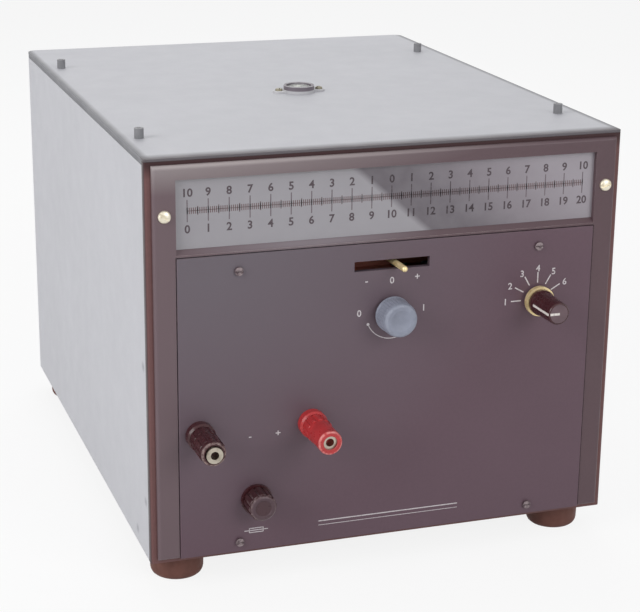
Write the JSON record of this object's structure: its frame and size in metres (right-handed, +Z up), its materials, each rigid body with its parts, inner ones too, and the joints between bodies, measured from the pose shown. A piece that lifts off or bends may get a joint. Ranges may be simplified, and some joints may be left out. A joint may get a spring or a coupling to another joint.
{
  "type": "ballistic galvanometer",
  "caption": "Light-spot ballistic galvanometer in a box cabinet with a long translucent scale, zero lever, lock knob, range selector, screw terminals, fuse, spirit level and rubber feet.",
  "frame": {"origin": "on the floor, under the middle of the whole instrument's outline", "axes": "+Z up, the scale faces -Y, +X to the right of someone facing the scale"},
  "size_m": [0.24, 0.3392, 0.2195],
  "materials": {
    "pale_paint": "satin",
    "frame_paint": "satin",
    "bezel_paint": "semi-gloss",
    "panel_paint": "satin",
    "scale": "frosted",
    "brass": "polished",
    "steel": "satin",
    "black_oxide": "satin",
    "rubber": "matte",
    "black_plastic": "gloss",
    "red_plastic": "gloss",
    "grey_plastic": "satin",
    "level_body": "satin",
    "level_glass": "clear",
    "glass": "clear",
    "mirror": "mirror",
    "iron": "matte",
    "magnet": "painted",
    "winding": "enamelled",
    "laminate": "satin",
    "casting": "cast"
  },
  "bodies": {
    "cabinet": {"base_tray": "frame_paint", "front_frame": "frame_paint", "rear_panel": "pale_paint", "side_rails": "frame_paint", "lid": "pale_paint", "left_side_panel": "pale_paint", "right_side_panel": "pale_paint", "lid_screws": "steel", "small_screws": "black_oxide", "feet": "rubber", "foot_screws": "steel", "bezel": "bezel_paint", "scale_plate": "scale", "control_panel": "panel_paint", "brass_screws": "brass", "level_housing": "level_body", "level_vial": "level_glass", "lock_bush": "steel", "panel_nuts": "steel", "clamp_guide": "steel", "switch_body": "steel", "switch_wafers": "laminate", "shunt_resistors": "laminate", "black_terminal_base": "black_plastic", "red_terminal_base": "red_plastic", "terminal_studs": "steel", "fuse_holder": "black_plastic", "movement_base": "casting", "movement_pillars": "steel", "movement_plates": "steel", "magnet_yoke": "iron", "magnets": "magnet", "pole_pieces": "iron", "core": "iron", "lamp_house": "black_oxide", "lens": "glass", "bulb": "glass", "rear_mirror": "mirror", "optics_brackets": "casting", "transformer": "iron", "mains_inlet": "black_plastic"},
    "lock": {"lock_knob": "grey_plastic", "lock_shaft": "steel", "lock_cam": "brass"},
    "clamp": {"clamp_slide": "steel"},
    "selector": {"selector_knob": "black_plastic", "selector_ring": "brass", "selector_shaft": "steel"},
    "zero_head": {"torsion_head": "brass", "zero_lever": "brass"},
    "coil_system": {"coil": "winding", "coil_stem": "casting", "coil_mirror": "mirror", "suspension": "brass"},
    "black_screw": {"black_insert": "brass"},
    "black_head": {"black_cap": "black_plastic"},
    "red_screw": {"red_insert": "brass"},
    "red_head": {"red_cap": "red_plastic"},
    "fuse_carrier": {"fuse_link": "glass"},
    "fuse_head": {"fuse_cap": "black_plastic"}
  },
  "joints": [
    {"name": "lock_turn", "type": "hinge", "parent": "cabinet", "child": "lock", "pos_m": [0, -0.13795, 0.132], "axis": [0, 1, 0], "range_deg": [-90, 90]},
    {"name": "clamp_lift", "type": "slide", "parent": "cabinet", "child": "clamp", "axis": [0, 0, 1], "range_m": [-0.002, 0.002]},
    {"name": "range_turn", "type": "hinge", "parent": "cabinet", "child": "selector", "pos_m": [0.077, -0.13795, 0.132], "axis": [0, 1, 0], "range_deg": [0, 150]},
    {"name": "zero_turn", "type": "hinge", "parent": "cabinet", "child": "zero_head", "pos_m": [0, -0.07595, 0.1565], "axis": [0, 0, 1], "range_deg": [-16, 12]},
    {"name": "coil_turn", "type": "hinge", "parent": "zero_head", "child": "coil_system", "pos_m": [0, -0.07595, 0.1337], "axis": [0, 0, 1], "range_deg": [-6, 6], "stiffness_Nm_per_rad": 0.001},
    {"name": "black_travel", "type": "slide", "parent": "cabinet", "child": "black_screw", "axis": [0, -1, 0], "range_m": [0, 0.0024]},
    {"name": "black_turn", "type": "hinge", "parent": "black_screw", "child": "black_head", "pos_m": [-0.096, -0.13795, 0.08], "axis": [0, -1, 0], "range_deg": [0, 1080]},
    {"name": "red_travel", "type": "slide", "parent": "cabinet", "child": "red_screw", "axis": [0, -1, 0], "range_m": [0, 0.0024]},
    {"name": "red_turn", "type": "hinge", "parent": "red_screw", "child": "red_head", "pos_m": [-0.04, -0.13795, 0.08], "axis": [0, -1, 0], "range_deg": [0, 1080]},
    {"name": "fuse_travel", "type": "slide", "parent": "cabinet", "child": "fuse_carrier", "axis": [0, -1, 0], "range_m": [0, 0.0025]},
    {"name": "fuse_turn", "type": "hinge", "parent": "fuse_carrier", "child": "fuse_head", "pos_m": [-0.068, -0.13795, 0.0435], "axis": [0, -1, 0], "range_deg": [0, 900]}
  ],
  "couplings": [
    {"joint": "lock_turn", "follows": "clamp_lift", "rad_per_m": 785.39},
    {"joint": "black_turn", "follows": "black_travel", "rad_per_m": 7853.9},
    {"joint": "red_turn", "follows": "red_travel", "rad_per_m": 7853.9},
    {"joint": "fuse_turn", "follows": "fuse_travel", "rad_per_m": 6283.1}
  ]
}
